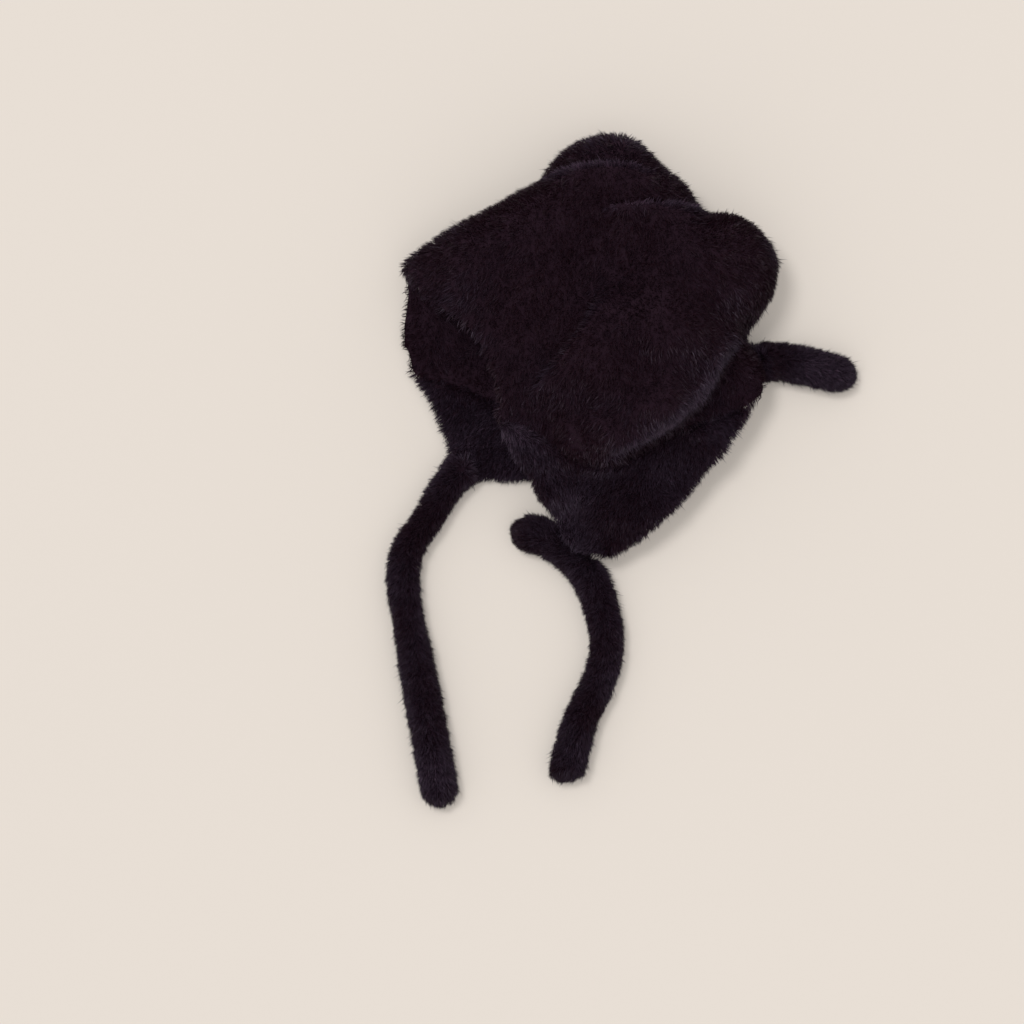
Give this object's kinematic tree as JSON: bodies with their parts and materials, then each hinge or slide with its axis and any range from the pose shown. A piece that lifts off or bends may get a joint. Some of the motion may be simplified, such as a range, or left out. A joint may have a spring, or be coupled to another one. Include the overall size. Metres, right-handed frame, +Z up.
{
  "type": "plush bonnet with tail",
  "caption": "Soft black plush-fur bonnet lying on its side: hollow slumped crown, tapering ear flaps, round plush ties and a short plush tail at the nape.",
  "frame": {"origin": "middle of the underside of the box round all the pieces, on the surface the bonnet lies on", "axes": "+Z up from that surface, +Y from the ties towards the top of the crown, +X from the face opening towards the nape and the tail"},
  "size_m": [0.3742, 0.5368, 0.1023],
  "materials": {
    "crown_fur": "deep black plush pile with a faint purple cast",
    "flap_fur": "deep black plush pile with a faint purple cast",
    "tie_fur": "deep black plush pile with a faint purple cast"
  },
  "bodies": {
    "root": {"crown": "crown_fur", "near_ear_flap": "flap_fur", "far_ear_flap": "flap_fur", "near_tie": "tie_fur", "far_tie": "tie_fur", "tail": "tie_fur"}
  },
  "joints": []
}
